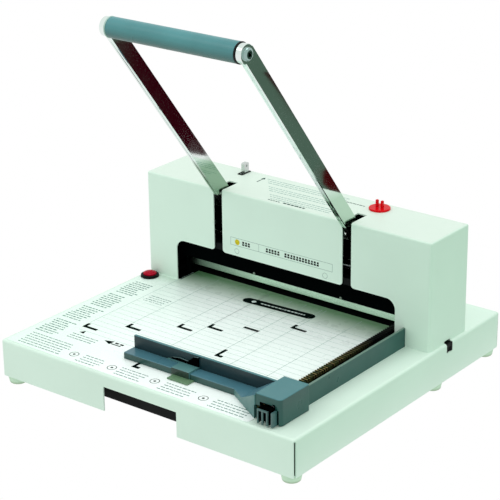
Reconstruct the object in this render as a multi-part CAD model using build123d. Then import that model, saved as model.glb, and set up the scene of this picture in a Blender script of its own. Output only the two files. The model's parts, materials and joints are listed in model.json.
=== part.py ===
from build123d import *
import math
import os

# Desktop stack paper cutter: a hollow steel base, a tall head with a blade and a clamp inside,
# a swing-down handle, a sliding depth gauge on a side fence and a lamp that shows the cut line.
#
# Every piece is drawn in bed coordinates: x from the middle of the machine, y back from the front
# face of the base, z up from the bed. save() moves it to the part's own frame, whose origin is on
# the floor below the middle of the base, with +Z up. All sizes are in millimetres.

# ---- driving dimensions ------------------------------------------------------------------------
BASE_WIDTH = 407.0
BASE_DEPTH = 395.0
BASE_HEIGHT = 43.7
FOOT_HEIGHT = 9.0
FOOT_RADIUS = 11.4
FOOT_TREAD = 9.6            # radius of a foot at the floor
SHEET = 1.6                 # thickness of the folded steel covers
COVER_EDGE = 3.0            # outside radius of the folded edges

HEAD_HALF = 199.9           # half width of the head
HEAD_FRONT = 250.8
HEAD_BACK = 325.4
HEAD_HEIGHT = 128.6
MOUTH_LEFT = -156.5
MOUTH_RIGHT = 155.0
MOUTH_TOP = 51.5
MOUTH_RADIUS = 12.0
ARM_SLOTS = {-1: (-98.5, -86.0), 1: (84.0, 96.0)}
ARM_SLOT_BACK = 281.0

CUT_Y = 291.2               # plane of the cut
FENCE_X = 143.1             # face that squares the paper
BED_SHEET = 0.4             # printed sheet on the bed
STACK = 15.6                # opening under the raised clamp

PIVOT_Y = 300.0             # shaft of the handle
PIVOT_Z = 74.3
SHAFT_RADIUS = 9.0
HANDLE_SWING = 50.0         # degrees, from raised to fully down
HANDLE_SHIFT = -1.85        # the handle sits this far left of the middle
ARM_THICKNESS = 7.0
ARM_WIDTH = 19.1
ARM_AHEAD = 2.35            # middle line of the arms in front of the shaft
ARM_LEAN = 37.6             # lean of the raised arms from the vertical
ARM_CENTRE = 89.85          # distance of each arm's middle from the handle's middle
GRIP_UP = 363.0             # grip axis along the arm, from the shaft
GRIP_AHEAD = 4.4            # grip axis in front of the shaft, square to the arm
GRIP_RADIUS = 11.4
ARM_END_RADIUS = 10.6
ROD_RADIUS = 5.0
CAP_RADIUS = 7.0
CAP_HEIGHT = 3.2

BLADE_TRAVEL = 18.8
BLADE_REST = 18.5           # height of the raised edge above the bed
ROLLER_RADIUS = 7.0
ROLLER_DROP = 22.0          # roller axis below the shaft at rest
FRAME_INNER = 186.0         # inner face of each side frame
FRAME_OUTER = 192.0

RUNNING_GAP = 0.05          # radial clearance of a running fit
FIT_GAP = 0.02              # clearance of a fixed fit
SIDES = {"left": -1, "right": 1}


# ---- helpers -----------------------------------------------------------------------------------
def save(name, *shapes):
    """Write one node, moved from bed coordinates to the part's frame."""
    placed = [Pos(0, -BASE_DEPTH / 2, BASE_HEIGHT + FOOT_HEIGHT) * shape for shape in shapes]
    solids = [solid for shape in placed for solid in shape.solids()]
    export_step(solids[0] if len(solids) == 1 else Compound(children=solids), f"parts/{name}.step")


def block(x0, x1, y0, y1, z0, z1):
    x0, x1 = min(x0, x1), max(x0, x1)
    return Pos((x0 + x1) / 2, (y0 + y1) / 2, (z0 + z1) / 2) * Box(x1 - x0, y1 - y0, z1 - z0)


def rod_x(radius, x0, x1, y, z):
    return Pos((x0 + x1) / 2, y, z) * Rot(0, 90, 0) * Cylinder(radius, abs(x1 - x0))


def rod_y(radius, x, y0, y1, z):
    return Pos(x, (y0 + y1) / 2, z) * Rot(90, 0, 0) * Cylinder(radius, abs(y1 - y0))


def rod_z(radius, x, y, z0, z1):
    return Pos(x, y, (z0 + z1) / 2) * Cylinder(radius, z1 - z0)


def slab_x(points, x0, x1):
    """A profile of (y, z) points, extruded from x0 to x1."""
    wire = Polyline(*[(min(x0, x1), y, z) for y, z in points], close=True)
    return extrude(make_face(wire), abs(x1 - x0), dir=(1, 0, 0))


def slab_y(points, y0, y1):
    """A profile of (x, z) points, extruded from y0 to y1."""
    wire = Polyline(*[(x, y0, z) for x, z in points], close=True)
    return extrude(make_face(wire), y1 - y0, dir=(0, 1, 0))


def slab_z(points, z0, z1):
    """A profile of (x, y) points, extruded from z0 to z1."""
    wire = Polyline(*[(x, y, z0) for x, y in points], close=True)
    return extrude(make_face(wire), z1 - z0, dir=(0, 0, 1))


def coil(radius, wire, x, y, z0, z1, turns):
    """A helical spring along Z whose ends stay inside z0 and z1."""
    height = z1 - z0 - wire
    path = Pos(x, y, z0 + wire / 2) * Helix(height / turns, height, radius)
    start = Plane(path @ 0, z_dir=path % 0)
    return sweep(start * Circle(wire / 2), path)


def arched_hole(x0, x1, y0, y1, top, radius):
    """A doorway through a wall: square at the bottom, round at its two top corners."""
    hole = block(x0, x1, y0, y1, -1, top - radius) + block(x0 + radius, x1 - radius, y0, y1, -1, top)
    return hole + rod_y(radius, x0 + radius, y0, y1, top - radius) + rod_y(
        radius, x1 - radius, y0, y1, top - radius)


def socket_screw(x, y, z_seat, length, head_radius, shank_radius):
    """A socket head screw that points down from its seat."""
    head = rod_z(head_radius, x, y, z_seat, z_seat + head_radius)
    head = chamfer(head.faces().sort_by(Axis.Z)[-1].edges(), head_radius / 8)
    socket = Pos(x, y, z_seat + head_radius) * extrude(RegularPolygon(head_radius / 2, 6), -head_radius / 2)
    return head - socket + rod_z(shank_radius, x, y, z_seat - length, z_seat)


# ---- places shared by several pieces -----------------------------------------------------------
STICK = (286.2, 294.0, -10.4, -0.3)         # cutting stick: y range, z range
PULL = (283.0, 294.0)                       # y range of the finger tab on the stick
DARK_SLOT = (-156.0, 155.0, 303.5)          # wide slot over the bed beam: x range, back
STICK_LEFT = -158.0
POST_X = 160.5                              # guide posts of blade carrier and clamp
POST_RADIUS = 3.0
POST_TOP = 64.0
CARRIER_POST_Y = 300.6
CLAMP_POST_Y = 277.5
CLAMP = (271.4, 290.6)                      # y range of the clamp
FRAME_SCREWS = [(180.0, 268.0), (180.0, 312.0)]
SWITCH = (-189.5, 238.2)
KNOB = (96.0, 306.0)
LOCK_X = -101.5
LOCK_TAB = (310.6, 318.8)
LEAD_HOLE = (-183.0, 260.0)
LOCK_SLOT = (305.8, 320.2)
RACK_RIGHT = 151.0
FENCE_OUTER = 169.2
FENCE_FRONT = 18.0
TIE_BAR = (308.0, 317.5, 106.0, 114.0)
SPRING_X = 140.0
SPRING_Y = 314.0
CAM = (171.5, 179.5)                        # x range of each cam and roller
NOTCH = (-51.5, 50.5, -14.7)                # front notch: x range and top
RECESS = (-90.0, 86.0)                      # x range of the recess behind the notch
SEAM = (0.7, 3.2)                           # y range of the corner seams, from the front
PLATE_LOW = -BASE_HEIGHT + 0.6              # underside of the bottom plate
FOOT_PLACES = {
    "front_left": (-191.5, 11.5), "front_right": (191.5, 11.5),
    "middle_left": (-191.5, 273.0), "middle_right": (191.5, 273.0),
    "rear_left": (-191.5, 383.5), "rear_right": (191.5, 383.5),
}
REAR_SCREWS = [(side * 182.0, z) for side in (-1, 1) for z in (22.0, 96.0)]


# ---- base --------------------------------------------------------------------------------------
def base_shell():
    half = BASE_WIDTH / 2
    outer = block(-half, half, 0, BASE_DEPTH, -BASE_HEIGHT, 0)
    outer = fillet(outer.edges().filter_by(Axis.Z), COVER_EDGE)
    outer = fillet(outer.faces().sort_by(Axis.Z)[-1].edges(), COVER_EDGE)
    inner = block(-half + SHEET, half - SHEET, SHEET, BASE_DEPTH - SHEET, -BASE_HEIGHT - 1, -SHEET)
    inner = fillet(inner.edges().filter_by(Axis.Z), COVER_EDGE - SHEET)
    shell = outer - inner
    shell -= block(NOTCH[0], NOTCH[1], -1, SHEET + 1, -BASE_HEIGHT - 1, NOTCH[2])
    shell -= block(STICK_LEFT - 1, half + 1, STICK[0] - 0.4, STICK[1] + 0.4, -SHEET - 1, 1)
    shell -= block(DARK_SLOT[0], DARK_SLOT[1], STICK[0] - 0.4, DARK_SLOT[2], -SHEET - 1, 1)
    shell -= block(195, half + 1, PULL[0] - 0.4, PULL[1] + 0.4, STICK[2] - 0.8, 1)
    shell -= rod_z(9.2, *SWITCH, -SHEET - 1, 1)
    shell -= rod_z(2.2, *LEAD_HOLE, -SHEET - 1, 1)
    for side in (-1, 1):
        for y in (CARRIER_POST_Y, CLAMP_POST_Y):
            shell -= rod_z(POST_RADIUS + 0.5, side * POST_X, y, -SHEET - 1, 1)
        for x, y in FRAME_SCREWS:
            shell -= rod_z(3.3, side * x, y, -SHEET - 1, 1)
        # open seams where the side flaps meet the front and back flaps
        for y in (SEAM[0], BASE_DEPTH - SEAM[1]):
            shell -= block(side * (half - SHEET - 0.6), side * (half + 1), y, y + SEAM[1] - SEAM[0],
                           -BASE_HEIGHT - 1, -COVER_EDGE)
    return shell


def bottom_plate():
    half = BASE_WIDTH / 2 - SHEET - 0.4
    low = PLATE_LOW
    plate = block(-half, half, SHEET + 0.4, BASE_DEPTH - SHEET - 0.4, low, low + 1.5)
    plate -= block(RECESS[0] - 1, RECESS[1] + 1, 0, 31.5, low - 1, low + 3)
    plate -= block(-178, -122, 154, 216, low - 1, low + 3)
    for x, y in FOOT_PLACES.values():
        plate -= rod_z(2.2, x, y, low - 1, low + 3)
    for x in range(-90, 121, 35):
        plate -= block(x - 12, x + 12, 344, 347, low - 1, low + 3)
    return plate


def front_recess():
    """A black finger recess behind the notch: back wall, two cheeks and a roof."""
    x0, x1 = RECESS
    low = PLATE_LOW
    cup = block(x0, x1, SHEET + 0.1, 28.0, low, NOTCH[2] + 3)
    cup -= block(x0 + 1.8, x1 - 1.8, 0, 26.0, low - 1, NOTCH[2] + 1.2)
    for x in (-60.0, -20.0, 20.0, 60.0):
        cup += block(x - 0.8, x + 0.8, 28.0, 31.0, low + 2, NOTCH[2] + 3)
    return cup


def bed_beam():
    beam = block(-FRAME_OUTER, FRAME_OUTER, 264, 321, -30, -SHEET - 0.05)
    beam -= block(STICK_LEFT - 1, FRAME_OUTER + 1, STICK[0] - 0.2, STICK[1] + 0.2, STICK[2] - 0.2, 1)
    beam -= block(-150, 150, 300, 330, -40, -12)
    for side in (-1, 1):
        for y in (CARRIER_POST_Y, CLAMP_POST_Y):
            beam -= rod_z(POST_RADIUS + FIT_GAP, side * POST_X, y, -20, 1)
        for x, y in FRAME_SCREWS:
            beam -= rod_z(3.0 + FIT_GAP, side * x, y, -20, 1)
    return beam


def foot():
    """A tapered rubber foot with a rounded tread, and a seat that meets the bottom plate.

    It is drawn at the origin, with the lower edge of the base walls at z = 0.
    """
    height = FOOT_HEIGHT - FIT_GAP
    body = Pos(0, 0, -FIT_GAP - height / 2) * Cone(FOOT_TREAD, FOOT_RADIUS, height)
    body = fillet(body.faces().sort_by(Axis.Z)[0].edges(), 2.0)
    body += rod_z(8.0, 0, 0, -1, PLATE_LOW + BASE_HEIGHT - FIT_GAP)
    return body - rod_z(4.4, 0, 0, -FOOT_HEIGHT - 1, -4.0) - rod_z(2.0 + FIT_GAP, 0, 0, -5, 1)


def foot_screw():
    head = fillet(rod_z(3.9, 0, 0, -6.4, -4.0).faces().sort_by(Axis.Z)[0].edges(), 1.0)
    return head + rod_z(2.0, 0, 0, -4.0, 5.0)


def bed_sheet():
    sheet = block(-199, FENCE_X - 0.5, 3.5, 248, 0.02, BED_SHEET)
    sheet = fillet(sheet.edges().filter_by(Axis.Z), 4.0)
    sheet += block(-152, FENCE_X - 0.5, 240, STICK[0] - 0.5, 0.02, BED_SHEET)
    corner = block(-200, SWITCH[0], SWITCH[1], 251, -1, 1)
    return sheet - rod_z(11.5, *SWITCH, -1, 1) - corner


def cutting_stick():
    return block(STICK_LEFT, 195.5, STICK[0], STICK[1], STICK[2], STICK[3])


def stick_pull():
    """Black finger tab on the end of the cutting stick, flush with the side of the base."""
    tab = block(195.5, BASE_WIDTH / 2 - 0.1, PULL[0], PULL[1], STICK[2] - 0.3, STICK[3] - 0.1)
    return tab - rod_z(3.2, BASE_WIDTH / 2 + 1.2, (PULL[0] + PULL[1]) / 2, -20, -5)


# ---- lamp --------------------------------------------------------------------------------------
def switch_bezel():
    x, y = SWITCH
    ring = rod_z(11.0, x, y, BED_SHEET + 0.02, 3.4)
    ring = fillet(ring.faces().sort_by(Axis.Z)[-1].edges(), 1.2)
    neck = rod_z(9.0, x, y, -9, BED_SHEET + 0.02)
    return ring + neck - rod_z(8.1, x, y, -7, 4)


def switch_button():
    x, y = SWITCH
    stem = rod_z(8.0, x, y, -3, 4.2)
    dome = Pos(x, y, -6.9) * Sphere(14.2)
    cap = rod_z(8.0, x, y, 3, 9)
    return stem + (cap & dome)


def battery_box():
    box = block(-177, -123, 155, 215, -42.0, -24)
    box -= block(-175.4, -124.6, 156.6, 213.4, -43, -25.6)
    return box + block(-150.6, -149.4, 156.6, 213.4, -41, -25.6)


def battery_cover():
    low = -BASE_HEIGHT + 0.2
    lid = block(-177.6, -122.4, 154.4, 215.6, low, low + 1.4)
    lid = fillet(lid.edges().filter_by(Axis.Z), 2.5)
    return lid - block(-156, -144, 158, 160.5, low - 1, low + 0.7)


def batteries():
    cells = []
    for x in (-163.0, -137.0):
        cells.append(rod_y(7.1, x, 159, 208, -33.6) + rod_y(2.6, x, 208, 209.5, -33.6))
    return cells


def light_bar():
    """Lamp holder behind the top edge of the mouth, with a row of small lens pockets below."""
    bar = slab_x([(253.0, 52.5), (260.5, 52.5), (263.5, 56.0), (263.5, 60.5), (253.0, 60.5)], -150, 150)
    for index in range(12):
        bar -= rod_z(2.0, -137.5 + 25 * index, 257, 51, 53.6)
    return bar


def light_lead():
    """Two-core leads: battery box to switch, and switch to lamp."""
    lead_x, lead_y = LEAD_HOLE
    low = FilletPolyline((-184, 238, -9.2), (-184, 238, -30), (-184, 185, -30), (-177.05, 185, -30),
                         radius=[6, 3])
    high = FilletPolyline((-194, 238, -9.2), (-194, 238, -18), (lead_x, lead_y, -18), (lead_x, lead_y, 57),
                          (-150.05, lead_y, 57), radius=[4, 5, 6])
    leads = []
    for path in (low, high):
        section = Plane(path @ 0, z_dir=path % 0) * Circle(1.0)
        leads.append(sweep(section, path, transition=Transition.ROUND))
    return leads


# ---- side fence and depth gauge ----------------------------------------------------------------
def side_fence():
    floor = block(RACK_RIGHT + 0.1, FENCE_OUTER, FENCE_FRONT, HEAD_FRONT - 0.4, 0.02, 1.2)
    wall = block(FENCE_OUTER - 3.2, FENCE_OUTER, FENCE_FRONT, HEAD_FRONT - 0.4, 0.02, 22.5)
    wall = fillet(wall.edges().filter_by(Axis.Y).sort_by(Axis.Z)[-2:], 0.8)
    return floor + wall


def fence_rack():
    """Toothed rack whose smooth left face squares the paper."""
    pitch, root, crest = 4.0, 11.8, 15.0
    back = 268.0
    count = int((back - FENCE_FRONT) / pitch)
    points = [(FENCE_FRONT, 0.02), (FENCE_FRONT, crest)]
    for tooth in range(count):
        start = FENCE_FRONT + 0.8 + tooth * pitch
        points += [(start, crest), (start + 0.9, root), (start + 2.0, root), (start + 2.9, crest)]
    points += [(back, crest), (back, 0.02)]
    return slab_x(points, FENCE_X, RACK_RIGHT)


GAUGE = (14.0, 62.5)                        # y range of the gauge at the front of its travel
BLOCK = (144.5, 176.5)                      # x range of the carriage
BAR_LEFT = -58.5
BAR_RIGHT = FENCE_X - 0.4
LEDGE_TOP = 8.0
WALL_TOP = 22.5
GRATE = (151.8, 6.0, 1.4, 17.4)             # ribbed front of the gauge: left, front, bottom, top
RIB = 1.8                                   # three ribs on the pinch lever, the fourth on the carriage
RIB_PITCH = 6.0                             # the fence wall passes between the last two ribs
LEVER_RIGHT = GRATE[0] + 2 * RIB_PITCH + RIB
FIXED_RIB = GRATE[0] + 3 * RIB_PITCH
LEVER_BACK = 16.5
LEVER_TRAVEL = 3.5
LEVER_X = (RACK_RIGHT + FENCE_OUTER - 3.1) / 2
LEVER_Z = 12.2


def gauge_bar():
    low = BED_SHEET + 0.3
    ledge = block(BAR_LEFT, BAR_RIGHT, 43, 60, low, LEDGE_TOP)
    ledge = chamfer(ledge.edges().filter_by(Axis.X).sort_by(Axis.Z)[-2:].sort_by(Axis.Y)[0], 0.8)
    upright = block(BAR_LEFT + 1, BAR_RIGHT + 0.5, GAUGE[1] - 3.0, GAUGE[1], low, WALL_TOP)
    upright -= block(BAR_RIGHT, BAR_RIGHT + 2, 50, 70, 0, 16)
    ramp = slab_y([(94, low), (BAR_RIGHT, low), (BAR_RIGHT, 16), (BLOCK[0], 16), (BLOCK[0], 28),
                   (112, LEDGE_TOP), (94, LEDGE_TOP)], GAUGE[0] - 0.5, GAUGE[1])
    corner = slab_z([(90, 43), (94, 43), (BAR_RIGHT + 3, GAUGE[0] - 2.2), (BAR_RIGHT + 3, 5), (90, 5)], 0, 40)
    bar = ledge + upright + (ramp - corner)
    return bar - block(BAR_RIGHT, BLOCK[0] + 1, 0, 70, 0, 16)


def gauge_carriage():
    low = BED_SHEET + 0.3
    slab = block(BLOCK[0], BLOCK[1], *GAUGE, 17, 30)
    skirt = block(FENCE_OUTER + 0.4, BLOCK[1], *GAUGE, low, 30)
    body = slab + skirt
    upright = body.edges().filter_by(Axis.Z).sort_by(Axis.X)[-2:].sort_by(Axis.Y)
    body = fillet(upright[0], 4.5)
    body = fillet(body.edges().filter_by(Axis.Z).sort_by(Axis.X)[-1], 1.5)
    body = fillet(body.faces().sort_by(Axis.Z)[-1].edges(), 0.8)
    body -= block(FENCE_OUTER - 3.6, FENCE_OUTER + 0.4, 0, 70, 0, 23.0)
    pocket_back = LEVER_BACK + LEVER_TRAVEL + 0.5
    body -= block(GRATE[0] - 0.2, FIXED_RIB + RIB + 1.8, 0, pocket_back, 0, GRATE[3] + 0.1)
    body -= block(GRATE[0] - 2.0, FIXED_RIB + RIB, 0, 23, 16.5, 21.6)
    body += block(FIXED_RIB, FIXED_RIB + RIB, GRATE[1], pocket_back + 1, GRATE[2], GRATE[3])
    foot_block = block(RACK_RIGHT + 0.5, FENCE_OUTER - 3.6, 26, 60, 2.6, 17)
    return body + foot_block - rod_y(3.2, LEVER_X, 25, 30, LEVER_Z)


def gauge_lever():
    """Pinch lever: an open box whose front is a grate of three ribs, with a stem behind it."""
    left, front, low, top = GRATE
    lever = block(left, LEVER_RIGHT, front, LEVER_BACK, low, top)
    lever = fillet(lever.edges().filter_by(Axis.Z).sort_by(Axis.Y)[:2].sort_by(Axis.X)[0], 0.8)
    lever -= block(left + 1.0, LEVER_RIGHT - 1.0, front + RIB, LEVER_BACK - 2.5, low - 1, top + 1)
    for index in range(2):
        start = left + RIB + index * RIB_PITCH
        lever -= block(start, start + RIB_PITCH - RIB, front - 1, front + RIB + 1, low - 1, top - 1.6)
    stem = block(LEVER_X - 4, LEVER_X + 4, LEVER_BACK, 20.5, 8, 16.4)
    return lever + stem


def gauge_spring():
    spring = coil(2.4, 0.7, 0, 0, 20.6, 25.9, 3)
    return Pos(LEVER_X, 0, LEVER_Z) * Rot(-90, 0, 0) * spring


def gauge_clip():
    """A marker that hooks over the ledge: a flange on the bed in front, a fin along the upright behind."""
    x0, x1 = 10.0, 34.0
    seat = LEDGE_TOP + 0.1
    low = BED_SHEET + 0.5
    top = block(x0, x1, 41.3, 59.2, seat, seat + 1.8)
    front = block(x0, x1, 41.3, 42.8, low, seat + 1.8)
    clip = fillet((top + front).edges().filter_by(Axis.X).sort_by(Axis.Z)[-2:].sort_by(Axis.Y)[0], 0.8)
    flange = block(x0 + 2, x1 + 6, 31.5, 42.8, low, low + 1.2)
    fin = slab_y([(-10.6, seat), (-2, 12.4), (7.7, 14), (19.6, 13.3), (28.1, 20.5), (34, 21.4), (34, seat)],
                 57.6, 59.2)
    return clip + flange + fin


# ---- head --------------------------------------------------------------------------------------
def head_shell():
    outer = block(-HEAD_HALF, HEAD_HALF, HEAD_FRONT, HEAD_BACK, 0.02, HEAD_HEIGHT)
    outer = fillet(outer.edges().filter_by(Axis.Z).sort_by(Axis.Y)[:2], COVER_EDGE)
    outer = fillet(outer.faces().sort_by(Axis.Z)[-1].edges().filter_by(GeomType.LINE), COVER_EDGE - 0.5)
    inner = block(-HEAD_HALF + SHEET, HEAD_HALF - SHEET, HEAD_FRONT + SHEET, HEAD_BACK + 1,
                  -1, HEAD_HEIGHT - SHEET)
    shell = outer - inner
    shell -= arched_hole(MOUTH_LEFT, MOUTH_RIGHT, HEAD_FRONT - 1, HEAD_FRONT + SHEET + 1,
                         MOUTH_TOP, MOUTH_RADIUS)
    for x0, x1 in ARM_SLOTS.values():
        shell -= block(x0, x1, HEAD_FRONT - 1, ARM_SLOT_BACK, MOUTH_TOP - 1, HEAD_HEIGHT + 1)
    corners = shell.edges().filter_by(
        lambda e: e.geom_type == GeomType.LINE and abs(e.length - SHEET) < 0.01
        and abs(e.center().Z - MOUTH_TOP) < 0.01 and e.center().Y < HEAD_FRONT + SHEET)
    shell = fillet(corners, 4.0)
    shell -= block(LOCK_X - 3.1, LOCK_X + 3.1, *LOCK_SLOT, HEAD_HEIGHT - 3, HEAD_HEIGHT + 1)
    shell -= rod_z(4.4, *KNOB, HEAD_HEIGHT - 3, HEAD_HEIGHT + 1)
    shell -= block(HEAD_HALF - SHEET - 1, HEAD_HALF + 1, PULL[0] - 0.4, PULL[1] + 0.4, -1, 2.2)
    return shell


def rear_cover():
    half = HEAD_HALF - SHEET - 0.3
    y0, y1 = HEAD_BACK - SHEET - 0.4, HEAD_BACK - 0.4
    panel = block(-half, half, y0, y1, 0.3, HEAD_HEIGHT - SHEET - 0.3)
    panel -= arched_hole(-157.0, 157.0, y0 - 1, y1 + 1, 34.0, 6.0)
    panel += block(-half, half, y0 - 3, y0, HEAD_HEIGHT - SHEET - 1.8, HEAD_HEIGHT - SHEET - 0.3)
    for x, z in REAR_SCREWS:
        panel -= rod_y(2.3, x, y0 - 1, y1 + 1, z)
    for row in range(3):
        for column in range(-4, 5):
            panel -= block(column * 22 - 8, column * 22 + 8, y0 - 1, y1 + 1, 70 + row * 9, 73 + row * 9)
    return panel


def rear_screws():
    face = HEAD_BACK - 0.4
    screws = []
    for x, z in REAR_SCREWS:
        head = rod_y(3.9, x, face + 0.02, face + 2.2, z)
        head = fillet(head.faces().sort_by(Axis.Y)[-1].edges(), 1.2)
        screws.append(head + rod_y(2.0, x, face - 6, face + 0.02, z))
    return screws


def side_frame(side):
    frame = slab_x([(258, 0.02), (322, 0.02), (322, 118), (282, 118), (258, 92)],
                   side * FRAME_INNER, side * FRAME_OUTER)
    frame += block(side * 172, side * FRAME_INNER, 262, 318, 0.02, 5)
    frame += block(side * 174, side * FRAME_INNER, 318.5, 322, 0.02, 118)
    frame -= rod_x(13.0 + FIT_GAP, side * (FRAME_INNER - 1), side * (FRAME_OUTER + 1), PIVOT_Y, PIVOT_Z)
    for x, y in FRAME_SCREWS:
        frame -= rod_z(3.0 + FIT_GAP, side * x, y, -1, 6)
    for x, z in REAR_SCREWS:
        frame -= rod_y(2.0 + FIT_GAP, x, 316, 326, z)
    return frame


def frame_screws():
    return [socket_screw(side * x, y, 5.02, 22, 5.0, 3.0) for side in (-1, 1) for x, y in FRAME_SCREWS]


def shaft_bushes():
    bushes = []
    for side in (-1, 1):
        bush = rod_x(13.0, side * FRAME_INNER, side * FRAME_OUTER, PIVOT_Y, PIVOT_Z)
        bush += rod_x(15.5, side * (FRAME_INNER - 1.6), side * FRAME_INNER, PIVOT_Y, PIVOT_Z)
        bushes.append(bush - rod_x(SHAFT_RADIUS + RUNNING_GAP, side * 180, side * 200, PIVOT_Y, PIVOT_Z))
    return bushes


def guide_posts():
    posts = []
    for side in (-1, 1):
        for y in (CARRIER_POST_Y, CLAMP_POST_Y):
            posts.append(chamfer(rod_z(POST_RADIUS, side * POST_X, y, -19, POST_TOP).edges(), 0.5))
    return posts


def tie_bar():
    bar = block(-FRAME_INNER + 0.1, FRAME_INNER - 0.1, *TIE_BAR)
    return bar - rod_z(4.1, *KNOB, 100, 120)


def lock_bezel():
    plate = block(LOCK_X - 3.7, LOCK_X + 3.7, LOCK_SLOT[0] - 1.6, LOCK_SLOT[1] + 1.6,
                  HEAD_HEIGHT + 0.02, HEAD_HEIGHT + 0.8)
    plate = fillet(plate.edges().filter_by(Axis.Z), 1.2)
    return plate - block(LOCK_X - 2.8, LOCK_X + 2.8, LOCK_SLOT[0] + 0.4, LOCK_SLOT[1] - 0.4,
                         HEAD_HEIGHT - 5, HEAD_HEIGHT + 5)


def lock_lever():
    """A flat tab that stands up through its slot, on a small latch plate below the cover."""
    under = HEAD_HEIGHT - SHEET - RUNNING_GAP
    tab = block(LOCK_X - 2.5, LOCK_X + 2.5, *LOCK_TAB, under - 1.5, HEAD_HEIGHT + 12.5)
    tab = fillet(tab.edges().filter_by(Axis.X).sort_by(Axis.Z)[-2:], 1.5)
    tab -= rod_x(1.4, LOCK_X - 5, LOCK_X + 5, LOCK_TAB[0] + 4, HEAD_HEIGHT + 9)
    latch = block(LOCK_X - 7.0, LOCK_X + 7.0, *LOCK_TAB, under - 1.5, under)
    return tab + latch


def clamp_knob():
    """A thin disc with two square posts to grip, on a stem that turns in the tie bar."""
    x, y = KNOB
    low = HEAD_HEIGHT + 0.1
    disc = rod_z(12.3, x, y, low, low + 2.2)
    disc = fillet(disc.faces().sort_by(Axis.Z)[-1].edges(), 0.8)
    knob = disc + rod_z(4.0, x, y, TIE_BAR[2] + 1, low)
    for shift in (-3.4, 3.4):
        post = block(x + shift - 1.3, x + shift + 1.3, y - 1.4, y + 1.4, low + 2.2, low + 10.4)
        post = fillet(post.faces().sort_by(Axis.Z)[-1].edges(), 0.5)
        knob += post
    return knob


# ---- handle ------------------------------------------------------------------------------------
def lean(shape):
    """Turn a piece drawn with upright arms about the shaft, to the raised position."""
    return Pos(0, PIVOT_Y, PIVOT_Z) * Rot(ARM_LEAN, 0, 0) * shape


def arm_faces(side):
    """Inner and outer x of one handle arm."""
    middle = HANDLE_SHIFT + side * ARM_CENTRE
    return middle - side * ARM_THICKNESS / 2, middle + side * ARM_THICKNESS / 2


def handle_arm(side):
    inner, outer = arm_faces(side)
    front, back = -ARM_AHEAD - ARM_WIDTH / 2, -ARM_AHEAD + ARM_WIDTH / 2
    bar = block(inner, outer, front, back, 0, GRIP_UP + 4)
    bar = fillet(bar.edges().filter_by(Axis.X).sort_by(Axis.Z)[-2:].sort_by(Axis.Y)[-1], 6.0)
    arm = bar + rod_x(ARM_END_RADIUS, inner, outer, -GRIP_AHEAD, GRIP_UP)
    arm += rod_x(15, inner, outer, 0, 0)
    ends = arm.faces().filter_by(Axis.X)
    arm = chamfer(ends.edges(), 0.6)
    # a shallow groove along the front edge of the arm
    middle = (inner + outer) / 2
    arm -= block(middle - 0.6, middle + 0.6, front - 1, front + 0.5, 30, GRIP_UP - 16)
    arm += rod_x(14, inner - side * 7, inner, 0, 0)
    arm -= rod_x(SHAFT_RADIUS + FIT_GAP, inner - side * 10, outer + side, 0, 0)
    arm -= rod_x(ROD_RADIUS + FIT_GAP, inner - side, outer + side, -GRIP_AHEAD, GRIP_UP)
    arm -= Pos(inner - side * 3.5, 0, 12) * Cylinder(2.0 + FIT_GAP, 12)
    return lean(arm)


def hub_screws():
    screws = []
    for side in (-1, 1):
        x = arm_faces(side)[0] - side * 3.5
        screws.append(lean(Pos(x, 0, 11.6) * Cylinder(2.0, 4.6)))
    return screws


def handle_rod():
    left, right = arm_faces(-1)[1], arm_faces(1)[1]
    return lean(rod_x(ROD_RADIUS, left, right, -GRIP_AHEAD, GRIP_UP))


def handle_grip():
    left, right = arm_faces(-1)[0] + 2, arm_faces(1)[0] - 2
    tube = rod_x(GRIP_RADIUS, left, right, -GRIP_AHEAD, GRIP_UP)
    tube = fillet(tube.edges(), 0.8)
    return lean(tube - rod_x(ROD_RADIUS + 0.1, left - 1, right + 1, -GRIP_AHEAD, GRIP_UP))


def grip_rings():
    rings = []
    for side in (-1, 1):
        inner = arm_faces(side)[0]
        ring = rod_x(GRIP_RADIUS + 0.2, inner - side * 1.95, inner - side * 0.05, -GRIP_AHEAD, GRIP_UP)
        ring = chamfer(ring.edges(), 0.3)
        rings.append(lean(ring - rod_x(ROD_RADIUS + 0.1, -200, 200, -GRIP_AHEAD, GRIP_UP)))
    return rings


def handle_caps():
    """Domed cap screws on the outer faces of the arms, each with a hexagon socket in its middle."""
    caps = []
    for side in (-1, 1):
        seat = arm_faces(side)[1] + side * 0.02
        cap = rod_x(CAP_RADIUS, seat, seat + side * CAP_HEIGHT, -GRIP_AHEAD, GRIP_UP)
        cap = fillet(cap.faces().sort_by(Axis.X)[-1 if side > 0 else 0].edges(), CAP_HEIGHT - 0.7)
        socket = extrude(RegularPolygon(2.6, 6), CAP_HEIGHT)
        cap -= Pos(seat + side * 1.6, -GRIP_AHEAD, GRIP_UP) * Rot(0, side * 90, 0) * socket
        caps.append(lean(cap))
    return caps


def main_shaft():
    shaft = rod_x(SHAFT_RADIUS, -194, 194, PIVOT_Y, PIVOT_Z)
    return chamfer(shaft.edges(), 0.8)


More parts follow.
